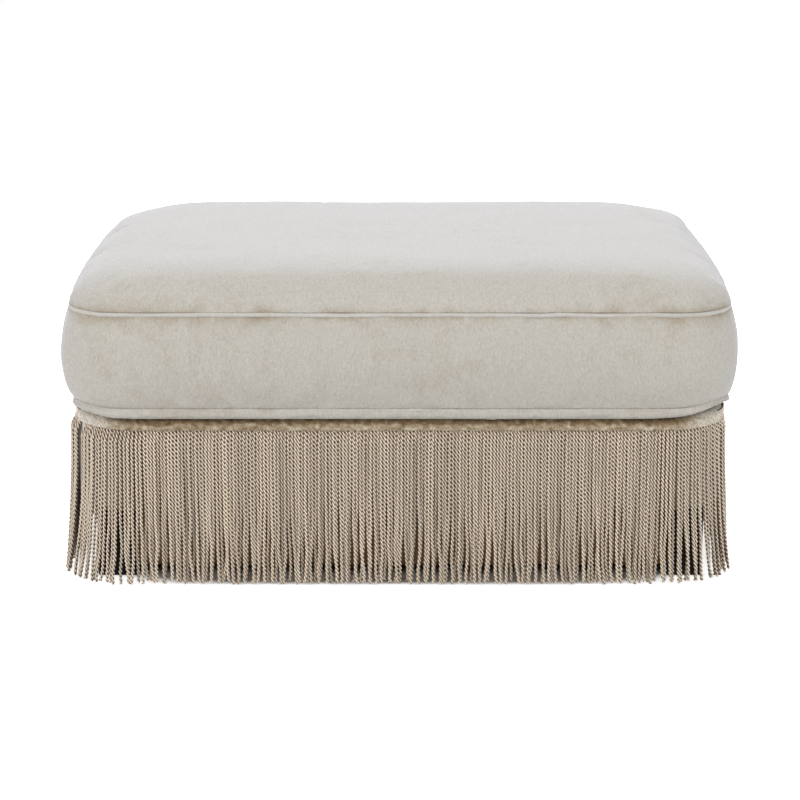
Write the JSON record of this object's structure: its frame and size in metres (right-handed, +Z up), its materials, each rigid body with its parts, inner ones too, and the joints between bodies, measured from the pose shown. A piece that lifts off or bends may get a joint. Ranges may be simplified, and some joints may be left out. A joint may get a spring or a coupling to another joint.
{
  "type": "footstool",
  "caption": "Upholstered footstool with a loose welted box cushion on a webbed hardwood base, block feet behind a bullion fringe.",
  "frame": {"origin": "on the floor, at the footprint's centre", "axes": "+X along the long side, to the right as seen from the front; +Y from the front to the back, where the zip is; +Z up"},
  "size_m": [1.015, 0.7552, 0.4591],
  "materials": {
    "cushion_velvet": "pale greige cotton velvet with a short pile",
    "base_velvet": "the same velvet on the deck and sides",
    "cord_yarn": "taupe twisted rayon yarn with a soft lustre",
    "lining_cloth": "dark brown plain-woven lining",
    "dust_cloth": "thin black nonwoven",
    "foam": "polyurethane foam",
    "wadding": "polyester wadding",
    "webbing": "woven elastic webbing",
    "hardwood": "planed, unfinished",
    "black_wood": "black satin lacquer",
    "steel": "zinc plated",
    "glide_nylon": "moulded nylon",
    "zip_nylon": "nylon coil on woven tape"
  },
  "bodies": {
    "base": {"rail_front": "hardwood", "rail_back": "hardwood", "rail_left": "hardwood", "rail_right": "hardwood", "corner_block_front_left": "hardwood", "corner_block_front_right": "hardwood", "corner_block_back_right": "hardwood", "corner_block_back_left": "hardwood", "centre_brace": "hardwood", "webbing_1": "webbing", "webbing_2": "webbing", "webbing_3": "webbing", "webbing_4": "webbing", "webbing_5": "webbing", "deck_pad": "wadding", "base_cover": "base_velvet", "dust_cover": "dust_cloth", "foot_front_left": "black_wood", "foot_front_right": "black_wood", "foot_back_right": "black_wood", "foot_back_left": "black_wood", "foot_bolt_front_left": "steel", "foot_bolt_front_right": "steel", "foot_bolt_back_right": "steel", "foot_bolt_back_left": "steel", "glide_front_left": "glide_nylon", "glide_front_right": "glide_nylon", "glide_back_right": "glide_nylon", "glide_back_left": "glide_nylon", "fringe_front": "cord_yarn", "fringe_right": "cord_yarn", "fringe_back": "cord_yarn", "fringe_left": "cord_yarn", "fringe_front_left_1": "cord_yarn", "fringe_front_left_2": "cord_yarn", "fringe_front_right_1": "cord_yarn", "fringe_front_right_2": "cord_yarn", "fringe_back_right_1": "cord_yarn", "fringe_back_right_2": "cord_yarn", "fringe_back_left_1": "cord_yarn", "fringe_back_left_2": "cord_yarn", "facing_front": "base_velvet", "facing_back": "base_velvet", "lining_front": "lining_cloth", "lining_back": "lining_cloth", "lining_left": "lining_cloth", "lining_right": "lining_cloth"},
    "cushion": {"cushion_core": "foam", "cushion_top_panel": "cushion_velvet", "cushion_boxing": "cushion_velvet", "cushion_bottom_panel": "cushion_velvet", "cushion_top_welt": "cushion_velvet", "cushion_bottom_welt": "cushion_velvet", "zip_chain": "zip_nylon"},
    "zip_slider": {"zip_slider": "steel"},
    "zip_pull": {"zip_pull": "steel"}
  },
  "joints": [
    {"name": "cushion_lift", "type": "slide", "parent": "base", "child": "cushion", "axis": [0, 0, 1], "range_m": [0, 0.2]},
    {"name": "zip_run", "type": "slide", "parent": "cushion", "child": "zip_slider", "axis": [-1, 0, 0], "range_m": [0, 0.699]},
    {"name": "zip_pull_swing", "type": "hinge", "parent": "zip_slider", "child": "zip_pull", "pos_m": [0.3495, 0.37971, 0.33635], "axis": [1, 0, 0], "range_deg": [0, 175]}
  ]
}
